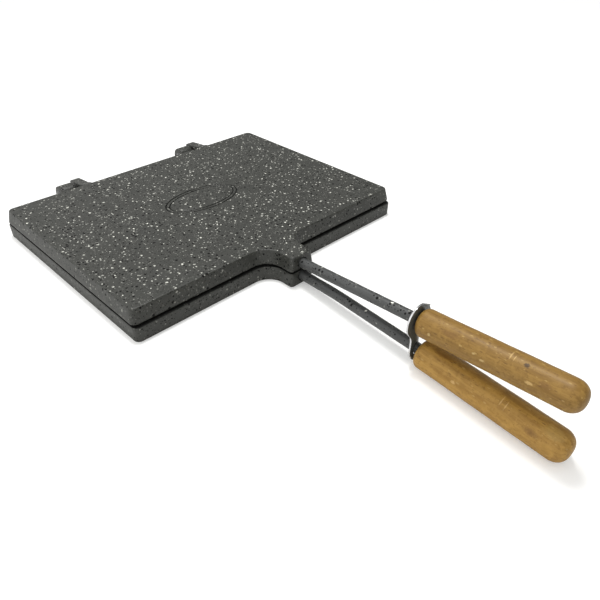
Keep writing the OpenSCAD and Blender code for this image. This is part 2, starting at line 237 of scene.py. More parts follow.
# Shader helpers
class Nodes:
    """Short ways to build one material's node tree."""

    def __init__(self, name):
        self.mat = bpy.data.materials.new(name)
        self.mat.use_nodes = True
        self.tree = self.mat.node_tree
        self.bsdf = self.tree.nodes["Principled BSDF"]

    def new(self, kind, **values):
        node = self.tree.nodes.new(kind)
        for key, value in values.items():
            if key.startswith("i_"):
                node.inputs[key[2:].replace("_", " ")].default_value = value
            else:
                setattr(node, key, value)
        return node

    def link(self, a, b):
        self.tree.links.new(a, b)

    def put(self, socket, value):
        if hasattr(value, "links"):
            self.link(value, socket)
        else:
            socket.default_value = value

    def math(self, op, a, b=0.0, c=None):
        node = self.new("ShaderNodeMath", operation=op)
        self.put(node.inputs[0], a)
        self.put(node.inputs[1], b)
        if c is not None:
            self.put(node.inputs[2], c)
        return node.outputs[0]

    def mix(self, fac, a, b):
        node = self.new("ShaderNodeMix", data_type="RGBA")
        self.put(node.inputs[0], fac)
        self.put(node.inputs[6], a if hasattr(a, "links") else (*a, 1.0))
        self.put(node.inputs[7], b if hasattr(b, "links") else (*b, 1.0))
        return node.outputs[2]

    def noise(self, vector, scale, detail=3.0, rough=0.5, distort=0.0):
        node = self.new("ShaderNodeTexNoise", i_Scale=scale, i_Detail=detail, i_Roughness=rough,
                        i_Distortion=distort)
        self.link(vector, node.inputs["Vector"])
        return node.outputs["Fac"]

    def ramp(self, value, low, high):
        node = self.new("ShaderNodeMapRange", interpolation_type="SMOOTHSTEP")
        self.put(node.inputs[0], value)
        self.put(node.inputs[1], low)
        self.put(node.inputs[2], high)
        return node.outputs[0]

    def coords(self, scale=(1, 1, 1), offset=(0, 0, 0)):
        tc = self.new("ShaderNodeTexCoord")
        mapping = self.new("ShaderNodeMapping", i_Scale=scale, i_Location=offset)
        self.link(tc.outputs["Object"], mapping.inputs["Vector"])
        return mapping.outputs[0]

    def bump(self, height, strength, distance, normal=None):
        node = self.new("ShaderNodeBump", i_Strength=strength, i_Distance=distance)
        self.link(height, node.inputs["Height"])
        if normal is not None:
            self.link(normal, node.inputs["Normal"])
        return node.outputs[0]

    def flecks(self, vector, scale, radius, share, soft=0.06):
        """(mask, random brightness) of irregular flecks, one in a share of the cells."""
        v = self.new("ShaderNodeTexVoronoi", i_Scale=scale, i_Randomness=1.0)
        self.link(vector, v.inputs["Vector"])
        sep = self.new("ShaderNodeSeparateColor")
        self.link(v.outputs["Color"], sep.inputs[0])
        there = self.math("LESS_THAN", sep.outputs[0], share)
        size = self.math("MULTIPLY_ADD", sep.outputs[1], radius * 0.7, radius * 0.45)
        near = self.math("SUBTRACT", size, v.outputs["Distance"])
        mask = self.ramp(near, 0.0, soft)
        return self.math("MULTIPLY", mask, there), sep.outputs[2]


def speckled_coating(name, base, gloss, amount=1.0, fleck_size=1.0, grooves=False):
    """Dark grainy coating with pale and black flecks; grooves paints shade into the oval grooves and the gap between
    the plates.
    """
    n = Nodes(name)
    flat = n.coords()
    warp = n.new("ShaderNodeTexNoise", i_Scale=900.0, i_Detail=2.0)
    n.link(flat, warp.inputs["Vector"])
    shift = n.new("ShaderNodeVectorMath", operation="MULTIPLY_ADD")
    n.link(warp.outputs["Color"], shift.inputs[0])
    shift.inputs[1].default_value = (0.0017, 0.0017, 0.0017)
    n.link(flat, shift.inputs[2])
    v = shift.outputs[0]
    # Flecks lie thick on the level faces and thin on the sloping sides
    tc = n.new("ShaderNodeTexCoord")
    sep = n.new("ShaderNodeSeparateXYZ")
    n.link(tc.outputs["Normal"], sep.inputs[0])
    level = n.ramp(n.math("ABSOLUTE", sep.outputs[2]), 0.75, 0.97)
    here = n.math("MULTIPLY_ADD", level, 0.72, 0.28)
    patch = n.ramp(n.noise(flat, 34.0, 3.0, 0.6), 0.30, 0.62)
    here = n.math("MULTIPLY", here, n.math("MULTIPLY_ADD", patch, 0.65, 0.45))
    cloud = n.noise(flat, 60.0, 4.0, 0.55)
    fine = n.noise(flat, 2600.0, 2.0, 0.6)
    tone = n.math("MULTIPLY_ADD", cloud, 0.5, 0.75)
    grain = n.math("MULTIPLY_ADD", fine, 0.5, 0.75)
    shade = n.new("ShaderNodeVectorMath", operation="SCALE")
    shade.inputs[0].default_value = base
    n.link(n.math("MULTIPLY", tone, grain), shade.inputs["Scale"])
    colour = shade.outputs[0]
    light_masks = []
    for scale, radius, share, bright, low in (
            (350.0, 0.29, 0.40, 0.95, 0.26), (560.0, 0.34, 0.38, 0.42, 0.14), (900.0, 0.40, 0.38, 0.22, 0.08)):
        mask, rand = n.flecks(v, scale / fleck_size, radius, share * amount)
        mask = n.math("MULTIPLY", mask, here)
        level_of = n.math("MULTIPLY_ADD", n.math("POWER", rand, 2.0), bright, low)
        tint = n.new("ShaderNodeVectorMath", operation="SCALE")
        tint.inputs[0].default_value = (1.0, 1.0, 0.90)
        n.link(level_of, tint.inputs["Scale"])
        colour = n.mix(mask, colour, tint.outputs[0])
        light_masks.append(mask)
    moved = n.coords(offset=(0.37, 0.11, 0.23))
    dark, _ = n.flecks(moved, 360.0 / fleck_size, 0.35, 0.50, 0.05)
    dark2, _ = n.flecks(moved, 800.0 / fleck_size, 0.38, 0.50, 0.08)
    dark = n.math("MAXIMUM", dark, n.math("MULTIPLY", dark2, 0.75))
    if grooves:
        # Painted shade: the gap between the plates and the two oval grooves of the upper face are darkened in the
        # colour, over their real recesses
        high = n.new("ShaderNodeSeparateXYZ")
        n.link(flat, high.inputs[0])
        z_off = n.math("ABSOLUTE", n.math("SUBTRACT", high.outputs[2], PLATE_T * MM))
        gap = n.math("SUBTRACT", 1.0, n.ramp(z_off, 0.65 * MM, 1.0 * MM))
        dark = n.math("MAXIMUM", dark, n.math("MULTIPLY", gap, n.math("GREATER_THAN", z_off, 0.03 * MM)))
        for a, b in OVALS:
            spot = n.new("ShaderNodeVectorMath", operation="SUBTRACT")
            n.link(flat, spot.inputs[0])
            spot.inputs[1].default_value = (OVAL_AT[0] * MM, OVAL_AT[1] * MM, 0.0)
            lengths = []
            for size in ((a * MM, b * MM), (1.0, 1.0)):
                part = n.new("ShaderNodeVectorMath", operation="MULTIPLY")
                n.link(spot.outputs[0], part.inputs[0])
                part.inputs[1].default_value = (1 / size[0], 1 / size[1], 0.0)
                whole = n.new("ShaderNodeVectorMath", operation="LENGTH")
                n.link(part.outputs[0], whole.inputs[0])
                lengths.append(whole.outputs["Value"])
            away = n.math("SUBTRACT", lengths[1], n.math("DIVIDE", lengths[1], lengths[0]))
            mask = n.math("SUBTRACT", 1.0, n.ramp(n.math("ABSOLUTE", away), 0.2 * MM, 0.75 * MM))
            mask = n.math("MULTIPLY", mask, n.math("GREATER_THAN", high.outputs[2], 1.7 * PLATE_T * MM))
            dark = n.math("MAXIMUM", dark, n.math("MULTIPLY", mask, 0.9))
    # Black flecks, and with grooves also the painted shade of the gap and the ovals, take a near-black colour
    colour = n.mix(n.math("MULTIPLY", dark, 0.92), colour, (0.006, 0.006, 0.006))
    n.link(colour, n.bsdf.inputs["Base Color"])
    lights = n.math("MAXIMUM", light_masks[0], light_masks[1])
    rough = n.math("MULTIPLY_ADD", n.noise(flat, 320.0, 3.0), 0.16, gloss - 0.08)
    n.link(rough, n.bsdf.inputs["Roughness"])
    height = n.math("MULTIPLY_ADD", n.noise(flat, 700.0, 4.0, 0.6), 0.6, n.math("MULTIPLY", fine, 0.35))
    height = n.math("ADD", height, n.math("MULTIPLY", lights, 0.25))
    height = n.math("SUBTRACT", height, n.math("MULTIPLY", dark, 0.5))
    broad = n.bump(n.noise(flat, 55.0, 2.0, 0.5), 0.35, 0.0012)
    n.link(n.bump(height, 0.55, 0.00012, broad), n.bsdf.inputs["Normal"])
    n.link(n.math("MULTIPLY_ADD", dark, -0.42, 0.5), n.bsdf.inputs["Specular IOR Level"])
    return n.mat


def chrome_sheet(name):
    n = Nodes(name)
    n.bsdf.inputs["Metallic"].default_value = 1.0
    flat = n.coords()
    brushed = n.noise(n.coords(scale=(1, 1, 9)), 900.0, 3.0, 0.6)
    spots = n.ramp(n.noise(flat, 700.0, 4.0, 0.65), 0.60, 0.72)
    bright = n.mix(spots, (0.74, 0.74, 0.75), (0.46, 0.43, 0.38))
    # The flat faces are painted dark with less metal, as a painted reflection of the shaded wood and surroundings; cut
    # edges and bent tab are bright
    tc = n.new("ShaderNodeTexCoord")
    sep = n.new("ShaderNodeSeparateXYZ")
    n.link(tc.outputs["Normal"], sep.inputs[0])
    face = n.ramp(n.math("ABSOLUTE", sep.outputs[2]), 0.80, 0.97)
    n.link(n.mix(n.math("MULTIPLY", face, 0.93), bright, (0.040, 0.046, 0.036)), n.bsdf.inputs["Base Color"])
    n.link(n.math("MULTIPLY_ADD", face, -0.85, 1.0), n.bsdf.inputs["Metallic"])
    n.link(n.math("MULTIPLY_ADD", brushed, 0.16, n.math("MULTIPLY_ADD", spots, 0.2, 0.06)),
           n.bsdf.inputs["Roughness"])
    wavy = n.bump(n.noise(flat, 160.0, 2.0), 0.25, 0.0006)
    n.link(n.bump(brushed, 0.12, 0.00006, wavy), n.bsdf.inputs["Normal"])
    return n.mat


def dull_steel(name):
    n = Nodes(name)
    n.bsdf.inputs["Metallic"].default_value = 0.85
    flat = n.coords()
    wear = n.noise(flat, 500.0, 4.0, 0.6)
    n.link(n.mix(n.ramp(wear, 0.4, 0.65), (0.10, 0.10, 0.10), (0.30, 0.30, 0.30)), n.bsdf.inputs["Base Color"])
    n.link(n.math("MULTIPLY_ADD", wear, 0.3, 0.3), n.bsdf.inputs["Roughness"])
    n.link(n.bump(wear, 0.5, 0.0002), n.bsdf.inputs["Normal"])
    return n.mat


# Colours and strengths of the grip marks; the wear_and_sheen kind is a painted sheen, a pale patch on top of the lower
# grip's nose
MARK_KINDS = {
    "knot": ((0.045, 0.022, 0.008), 0.85), "chip": ((0.60, 0.43, 0.18), 0.60),
    "rub": ((0.66, 0.44, 0.17), 0.6), "wear_and_sheen": ((0.50, 0.34, 0.11), 0.35), "dull": ((0.15, 0.066, 0.018), 0.45),
}


def turned_wood(name, offset, marks, tone):
    """Marks are (x, y, z, length, radius, kind) in the grip's own millimetres."""
    n = Nodes(name)
    base = n.coords(offset=offset)
    own = n.coords()
    sway = n.noise(n.coords(scale=(1, 1, 0.25), offset=offset), 45.0, 2.0)
    along = n.new("ShaderNodeVectorMath", operation="MULTIPLY_ADD")
    n.link(sway, along.inputs[0])
    along.inputs[1].default_value = (0.006, 0.006, 0.0)
    n.link(base, along.inputs[2])
    long = n.new("ShaderNodeMapping", i_Scale=(1.0, 1.0, 0.13))
    n.link(along.outputs[0], long.inputs["Vector"])
    wide = n.new("ShaderNodeMapping", i_Scale=(1.0, 0.35, 0.03))
    n.link(along.outputs[0], wide.inputs["Vector"])
    fibre = n.noise(long.outputs[0], 1500.0, 4.0, 0.62)
    streak = n.noise(long.outputs[0], 520.0, 4.0, 0.6)
    rings = n.new("ShaderNodeTexWave", wave_type="BANDS", bands_direction="X", i_Scale=75.0, i_Distortion=5.0,
                  i_Detail=3.0, i_Detail_Scale=1.6, i_Detail_Roughness=0.55)
    n.link(wide.outputs[0], rings.inputs["Vector"])
    blotch = n.noise(base, 210.0, 4.0, 0.65)
    # tone scales all the wood's colours: painted shade on the upper grip, painted light on the lower grip
    light, mid, dark = (tuple(tone * v for v in c) for c in (
        (0.375, 0.216, 0.048), (0.280, 0.150, 0.027), (0.165, 0.078, 0.011)))
    colour = n.mix(n.ramp(streak, 0.32, 0.68), mid, light)
    colour = n.mix(n.math("MULTIPLY", n.ramp(rings.outputs["Fac"], 0.35, 0.95), 0.25), colour, dark)
    colour = n.mix(n.math("MULTIPLY", n.ramp(fibre, 0.52, 0.70), 0.38), colour, dark)
    colour = n.mix(n.math("MULTIPLY", n.ramp(blotch, 0.48, 0.66), 0.60), colour, light)
    # wear_and_sheen here is a darker wear mottling over the whole grip
    wear_and_sheen = n.noise(n.coords(offset=(0.3, 0.2, 0.1)), 420.0, 4.0, 0.7)
    colour = n.mix(n.math("MULTIPLY", n.ramp(wear_and_sheen, 0.54, 0.68), 0.50), colour, dark)
    pore_map = n.new("ShaderNodeMapping", i_Scale=(1.0, 1.0, 0.24))
    n.link(base, pore_map.inputs["Vector"])
    pores, _ = n.flecks(pore_map.outputs[0], 820.0, 0.26, 0.50, 0.10)
    colour = n.mix(n.math("MULTIPLY", pores, 0.62), colour, (0.105, 0.042, 0.009))
    pale_map = n.new("ShaderNodeMapping", i_Scale=(1.0, 1.0, 0.45), i_Location=(0.2, 0.1, 0.3))
    n.link(base, pale_map.inputs["Vector"])
    pale, _ = n.flecks(pale_map.outputs[0], 520.0, 0.30, 0.42, 0.14)
    colour = n.mix(n.math("MULTIPLY", pale, 0.42), colour, (0.56, 0.38, 0.13))
    dent = None
    for x, y, z, sx, sy, sz, kind in marks:
        spot = n.new("ShaderNodeVectorMath", operation="SUBTRACT")
        n.link(own, spot.inputs[0])
        spot.inputs[1].default_value = (x * MM, y * MM, z * MM)
        stretch = n.new("ShaderNodeVectorMath", operation="DIVIDE")
        n.link(spot.outputs[0], stretch.inputs[0])
        stretch.inputs[1].default_value = (sx * MM, sy * MM, sz * MM)
        length = n.new("ShaderNodeVectorMath", operation="LENGTH")
        n.link(stretch.outputs[0], length.inputs[0])
        ragged = n.math("ADD", length.outputs["Value"], n.math("MULTIPLY", n.noise(base, 1100.0, 3.0), 0.9))
        mask = n.math("SUBTRACT", 1.0, n.ramp(ragged, 0.85, 1.45))
        tint, strength = MARK_KINDS[kind]
        colour = n.mix(n.math("MULTIPLY", mask, strength), colour, tint)
        if kind in ("knot", "chip"):
            dent = mask if dent is None else n.math("MAXIMUM", dent, mask)
    n.link(colour, n.bsdf.inputs["Base Color"])
    n.link(n.math("MULTIPLY_ADD", streak, 0.22, 0.42), n.bsdf.inputs["Roughness"])
    n.bsdf.inputs["Specular IOR Level"].default_value = 0.35
    height = n.math("MULTIPLY_ADD", fibre, 0.5, n.math("MULTIPLY", streak, 0.5))
    height = n.math("SUBTRACT", height, n.math("MULTIPLY", pores, 0.9))
    if dent is not None:
        height = n.math("SUBTRACT", height, n.math("MULTIPLY", dent, 2.0))
    turned = n.bump(n.noise(n.coords(scale=(1, 1, 7)), 60.0, 2.0), 0.12, 0.0006)
    n.link(n.bump(height, 0.45, 0.00012, turned), n.bsdf.inputs["Normal"])
    n.bsdf.inputs["Coat Weight"].default_value = 0.04
    n.bsdf.inputs["Coat Roughness"].default_value = 0.28
    return n.mat


OVALS = [(33.2, 18.3), (30.2, 15.3)]
GROOVE_W, GROOVE_DEPTH = 0.75, 0.8
OVAL_AT = (-0.8, 2.0)

plate_mat = speckled_coating("plate_coating", (0.0335, 0.0345, 0.0290), 0.46, grooves=True)
rod_mat = speckled_coating("rod_coating", (0.056, 0.058, 0.057), 0.40, amount=0.55, fleck_size=1.15)
chrome_mat = chrome_sheet("latch_chrome")
pin_mat = dull_steel("pin_steel")


# Plates


def groove_depth(x, y, z):
    """Sinks the points of the two oval grooves below the face at z."""
    for a, b in OVALS:
        u, v = x - OVAL_AT[0], y - OVAL_AT[1]
        ratio = math.hypot(u / a, v / b)
        radius = math.hypot(u, v)
        away = abs(radius - radius / ratio) if ratio > 0 else 99
        if away < GROOVE_W + 0.3 and ratio > 0.5:
            t = min(1.0, away / GROOVE_W)
            return z + GROOVE_DEPTH * 0.5 * (1 + math.cos(math.pi * t))
    return z


def plate_rings(build, upper):
    """The outside of one plate from the parting plane down to its flat face at z = 0."""
    back, share = (LEDGE, 1.0) if upper else (0.0, LOWER_SLOPE_SHARE)
    parting = plate_loop(0, 0, 3.05, back)
    rings = [build.loop(parting, PLATE_T), build.loop(plate_loop(0, 0, 3.0, back), PLATE_T - 0.7)]
    for k in range(6):
        a = math.radians(40.5) * (1 - k / 5)
        round_off = 0.9 * RIM_R * (1 - math.cos(a))
        rings.append(build.loop(plate_loop(0, 0, round_off, back), BELT_Z + RIM_R * math.sin(a)))
    for k in range(1, 6):
        z = BELT_Z + (EDGE_R - BELT_Z) * k / 5
        part = share * (1 - z / BELT_Z)
        rings.append(build.loop(plate_loop(SIDE_DRAFT * part, END_DRAFT * part, 0, back), z))
    for k in range(1, 6):
        a = math.pi / 2 * k / 5
        z = EDGE_R * (1 - math.sin(a))
        part, round_off = share * (1 - z / BELT_Z), EDGE_R * (1 - math.cos(a))
        rings.append(build.loop(plate_loop(SIDE_DRAFT * part, END_DRAFT * part, round_off, back), z))
    hold = plate_loop(SIDE_DRAFT * share, END_DRAFT * share, EDGE_R + 0.5, back)
    rings.append(build.loop(hold, 0.0))
    for a, b in zip(rings, rings[1:]):
        build.bridge(a, b)
    return parting, hold


def hollow(build, parting):
    """The inside of one plate: the land, the hollow's wall with a soft foot, and its floor."""
    top = rect_loop(HOLLOW_X, HOLLOW_Y, 7.0)
    build.fill([parting, top], PLATE_T, holes=(1,))
    profile = [(0.0, 12.0), (0.2, 11.92), (0.42, 11.75), (0.6, 11.4), (1.0, 10.0), (1.5, 8.4), (1.9, 7.2),
               (2.3, 6.3), (2.9, 5.6), (3.8, 5.15), (4.8, 5.02), (5.8, 5.0)]
    rings = [build.loop(rect_loop(HOLLOW_X - d, HOLLOW_Y - d, 7.0 - 0.3 * d), z) for d, z in profile]
    for a, b in zip(rings, rings[1:]):
        build.bridge(a, b)
    d = profile[-1][0]
    build.fill([rect_loop(HOLLOW_X - d, HOLLOW_Y - d, 7.0 - 0.3 * d)], HOLLOW_Z)


def low_eye(build, x0):
    wall = -RIM_Y
    outline = arc_points(HINGE_Y, PLATE_T, EYE_R, -118, 150, 40)
    outline += [(HINGE_Y - EYE_R * 0.93, PLATE_T - 0.6), (RIM_Y - 3, PLATE_T - 1.3), (RIM_Y - 3, 1.6),
                (HINGE_Y - EYE_R * 0.95, PLATE_T - EYE_R - 0.4)]
    extrude_x(build, outline, x0, x0 + LOW_EYE_W, 0.7)


def top_eye(build, x0):
    """The upper ear, drawn the right way up; z counts from the underside of the lower plate."""
    outline = arc_points(HINGE_Y, PLATE_T, EYE_R, -160, -10, 26)
    outline += [(HINGE_Y + EYE_R, PLATE_T + 2.0), (HINGE_Y + EYE_R, PLATE_T + 4.2)]
    outline += arc_points(HINGE_Y + EYE_R - 2.0, PLATE_T + EYE_R - 2.4, 2.0, 10, 80, 6)
    outline += [(HINGE_Y + 2.0, PLATE_T + EYE_R + 0.1), (RIM_Y + 4, PLATE_T + 9.6), (RIM_Y - 1.0, PLATE_T + 11.2),
                (RIM_Y - 4.6, PLATE_T + 11.9), (RIM_Y - 6.0, PLATE_T + 11.9), (RIM_Y - 6.0, PLATE_T + 1.4),
                (HINGE_Y - EYE_R * 1.2, PLATE_T + 1.3)]
    extrude_x(build, outline, x0, x0 + TOP_EYE_W, 0.7)


def rod_axis(upper, along):
    """Point on a rod's middle, along millimetres from the neck's tip, and its direction."""
    if upper:
        d = Vector((0, -math.cos(UPPER_SLOPE), math.sin(UPPER_SLOPE)))
        return Vector((HANDLE_X, NECK_TIP_Y, UPPER_Z)) + d * along, d
    d = Vector((0, -math.cos(LOWER_SLOPE), -math.sin(LOWER_SLOPE)))
    start = Vector((HANDLE_X, NECK_TIP_Y, LOWER_Z))
    if along <= BEND_PLACE:
        return start + d * along, d
    s = LOWER_SLOPE + LOWER_BEND
    e = Vector((0, -math.cos(s), -math.sin(s)))
    return start + d * BEND_PLACE + e * (along - BEND_PLACE), e


def frame_at(upper, along):
    """Matrix of a place on a rod: its Z runs along the rod and its X stays level."""
    p, d = rod_axis(upper, along)
    x = Vector((1, 0, 0))
    y = d.cross(x)
    m = Matrix((x, y, d)).transposed().to_4x4()
    m.translation = p * MM
    return m


def cut_socket(obj, upper):
    """Cuts the round mouth of a rod's socket into a neck, as a straight bore."""
    bm = bmesh.new()
    bmesh.ops.create_cone(bm, cap_ends=True, segments=64, radius1=(ROD_R + 0.8) * MM, radius2=(ROD_R + 0.8) * MM,
                          depth=8 * MM)
    cutter_mesh = bpy.data.meshes.new("cutter")
    bm.to_mesh(cutter_mesh)
    bm.free()
    cutter = bpy.data.objects.new("cutter", cutter_mesh)
    bpy.context.collection.objects.link(cutter)
    cutter.matrix_world = frame_at(upper, 2.5)
    mod = obj.modifiers.new("socket", "BOOLEAN")
    mod.object = cutter
    mod.operation = "DIFFERENCE"
    mod.solver = "EXACT"
    bpy.context.view_layer.update()
    done = bpy.data.meshes.new_from_object(obj.evaluated_get(bpy.context.evaluated_depsgraph_get()))
    obj.modifiers.clear()
    obj.data = done
    bpy.data.objects.remove(cutter)
    set_smooth(done, 35)


def build_plate(upper):
    """One plate with its neck, rod socket and hinge eyes."""
    build = Build()
    parting, hold = plate_rings(build, upper)
    if upper:
        loops = [hold]
        for a, b in OVALS:
            for off in (-GROOVE_W, -0.6 * GROOVE_W, -0.25 * GROOVE_W, 0.25 * GROOVE_W, 0.6 * GROOVE_W, GROOVE_W):
                loops.append(ellipse_loop(a + off, b + off, 160, *OVAL_AT))
        build.fill(loops, 0.0, depth=groove_depth)
    else:
        build.fill([hold], 0.0)
    hollow(build, parting)
    if upper:
        build.verts = [(x, y, 2 * PLATE_T - z) for x, y, z in build.verts]
    name = "upper_plate_cast" if upper else "lower_plate_cast"
    obj = make_object(name, build.verts, build.faces, None, plate_mat)
    cut_socket(obj, upper)
    ears = Build()
    for side in (-1, 1):
        x0 = side * HINGE_PITCH / 2 - HINGE_W / 2
        if upper:
            top_eye(ears, x0 + LOW_EYE_W + EYE_GAP)
        else:
            low_eye(ears, x0)
    ears_obj = make_object(name + "_eyes", ears.verts, ears.faces, None, plate_mat, smooth_deg=30)
    bm = bmesh.new()
    bm.from_mesh(obj.data)
    bm.from_mesh(ears_obj.data)
    bm.to_mesh(obj.data)
    bm.free()
    bpy.data.objects.remove(ears_obj)
    set_smooth(obj.data, 32)
    declare(obj, "lid" if upper else "base", ["upper_plate" if upper else "lower_plate"])
    return obj


build_plate(False)
build_plate(True)


# Hinge pins
def lathe(profile, sides=64):
    """Mesh of a profile of (radius, z) turned round Z."""
    build = Build()
    rings = [build.ring3([(r * math.cos(2 * math.pi * i / sides), r * math.sin(2 * math.pi * i / sides), z)
                          for i in range(sides)]) for r, z in profile]
    for a, b in zip(rings, rings[1:]):
        build.bridge(a, b)
    build.fan(rings[0], (0, 0, profile[0][1]))
    build.fan(rings[-1], (0, 0, profile[-1][1]))
    return build


for side, word in ((-1, "left"), (1, "right")):
    head = [(0.5, -1.4), (1.6, -1.36), (2.7, -1.15), (3.4, -0.8), (3.85, -0.35), (3.95, -0.05), (3.9, 0.0), (2.5, 0.0)]
    far = [(r, HINGE_W + 0.4 - z) for r, z in reversed(head)]
    build = lathe(head + [(2.5, HINGE_W * 0.5)] + far)
    m = Matrix.Rotation(math.radians(90), 4, "Y")
    m.translation = Vector((side * HINGE_PITCH / 2 - HINGE_W / 2, HINGE_Y, PLATE_T)) * MM
    make_object(word + "_pin_peened", build.verts, build.faces, "base", pin_mat,
                [word + "_hinge_pin"], m, 30)


# Rods
def rod_mesh(upper):
    build = Build()
    sides, rings = 56, []
    end = ROD_FREE + TANG + (0 if upper else LOWER_EXTRA)
    place = -SOCKET_DEPTH
    while place <= end + 0.01:
        p, d = rod_axis(upper, place)
        if not upper:
            # The bend is spread softly over 16 mm
            t = min(1.0, max(0.0, (place - BEND_PLACE + 8) / 16))
            lift = 8 * math.sin(LOWER_BEND) * 0.25 * (1 - abs(2 * t - 1)) ** 2 if 0 < t < 1 else 0
            p = p - Vector((0, 0, lift))
        side, up = Vector((1, 0, 0)), d.cross(Vector((1, 0, 0)))
        wobble = 0.03 * math.sin(place * 0.31) + 0.02 * math.sin(place * 0.77 + 1)
        r = ROD_R - 0.05 + wobble * 0.8
        rings.append(build.ring3([p + (side * math.cos(2 * math.pi * i / sides)
                                       + up * math.sin(2 * math.pi * i / sides)) * r for i in range(sides)]))
        place += 2.0 if place < end - 2 else max(0.5, end - place)
        if len(rings) > 200:
            break
    for a, b in zip(rings, rings[1:]):
        build.bridge(a, b)
    build.fan(rings[0], rod_axis(upper, -SOCKET_DEPTH)[0])
    build.fan(rings[-1], rod_axis(upper, end)[0])
    return build


for upper, body, node in ((True, "lid", "upper_rod"), (False, "base", "lower_rod")):
    build = rod_mesh(upper)
    make_object(node + "_bar", build.verts, build.faces, body, rod_mat, [node])


# Wooden grips
def grip_profile(extra):
    front_r, big_r = GRIP_FRONT_R + extra, GRIP_R + extra
    out = [(ROD_R - 0.3, 6.0), (ROD_R - 0.3, 0.5), (ROD_R, 0.1), (ROD_R + 0.9, 0.0), (front_r - GRIP_EDGE, 0.02)]
    for k in range(1, 10):
        a = math.pi / 2 * k / 9
        out.append((front_r - GRIP_EDGE + GRIP_EDGE * math.sin(a), GRIP_EDGE - GRIP_EDGE * math.cos(a)))
    swell = GRIP_LEN - GRIP_NOSE - 14
    for k in range(1, 25):
        t = k / 24
        z = GRIP_EDGE + (swell - GRIP_EDGE) * t
        r = front_r + (big_r - front_r) * (3 * t * t - 2 * t ** 3)
        out.append((r + 0.04 * math.sin(z * 0.21) - 0.04, z))
    for k in range(1, 5):
        out.append((big_r - 0.02, swell + 14 * k / 4 - 0.6))
    for k in range(1, 15):
        a = math.pi / 2 * k / 15
        out.append((big_r * math.cos(a) ** 0.75, GRIP_LEN - GRIP_NOSE + GRIP_NOSE * math.sin(a)))
    out.append((0.4, GRIP_LEN - 0.01))
    return out


# Brightness of each grip's wood: makes up for light that the stage doesn't have
GRIP_TONE = {True: 0.84, False: 1.20}
grip_marks = {
    True: [(-4.5, 8.4, 69.3, 1.7, 1.7, 2.1, "knot"), (-9.35, 1.0, 11.8, 1.0, 1.3, 1.3, "chip"),
           (-9.3, 1.4, 46.6, 1.0, 1.0, 2.0, "chip"), (-9.1, 3.0, 41.0, 0.8, 0.8, 1.2, "chip"),
           (-3.4, 8.8, 59.6, 4.0, 2.2, 0.55, "rub"), (-3.9, 8.6, 62.0, 2.6, 2.0, 0.40, "rub"),
           (-8.0, 4.5, 82.0, 2.0, 3.0, 5.0, "dull"),
           (-7.0, 6.3, 24.0, 2.5, 2.5, 8.0, "dull"), (-9.2, 2.0, 74.0, 1.0, 1.4, 3.0, "rub")],
    False: [(-5.5, 8.6, 58.4, 4.5, 3.2, 0.50, "rub"), (-6.2, 8.2, 61.8, 4.5, 3.2, 0.50, "rub"),
            # The wear_and_sheen mark on top of the nose is a painted sheen
            (-2.0, 9.8, 15.0, 2.2, 2.0, 7.0, "dull"), (-4.0, 9.3, 90.0, 6.0, 3.5, 8.0, "wear_and_sheen"),
            (-9.0, 4.5, 80.0, 2.0, 3.0, 6.0, "dull"), (-9.4, 3.0, 30.0, 1.0, 1.4, 2.0, "rub")],
}
for upper, body, node, offset in ((True, "lid", "upper_grip", (0.013, 0.004, 0.0)),
                                  (False, "base", "lower_grip", (-0.021, 0.017, 0.4))):
    build = lathe(grip_profile(0 if upper else LOWER_GRIP_EXTRA), 96)
    build.verts = [(x * (1 + 0.004 * math.sin(z * 0.05)), y * (1 - 0.006 * math.sin(z * 0.04 + 1)), z)
                   for x, y, z in build.verts]
    m = frame_at(upper, ROD_FREE + (0 if upper else LOWER_EXTRA))
    m = m @ Matrix.Translation((0, (UPPER_GRIP_LIFT if upper else -LOWER_GRIP_DROP) * MM, 0))
    if not upper:
        m = m @ Matrix.Rotation(math.radians(LOWER_GRIP_TILT), 4, "X")
    make_object(node + "_turned", build.verts, build.faces, body,
                turned_wood(node + "_wood", offset, grip_marks[upper], GRIP_TONE[upper]), [node], m, 40)


# Latch
def spline(points, steps=5, closed=False):
    out = []
    n = len(points)
    last = n if closed else n - 1
    for i in range(last):
        p = [points[(i + k) % n] if closed else points[min(max(i + k, 0), n - 1)] for k in (-1, 0, 1, 2)]
        for s in range(steps):
            t = s / steps
            out.append(tuple(0.5 * (2 * p[1][c] + (p[2][c] - p[0][c]) * t
                                    + (2 * p[0][c] - 5 * p[1][c] + 4 * p[2][c] - p[3][c]) * t * t
                                    + (3 * p[1][c] - p[0][c] - 3 * p[2][c] + p[3][c]) * t ** 3) for c in (0, 1)))
    if not closed:
        out.append(points[-1])
    return out


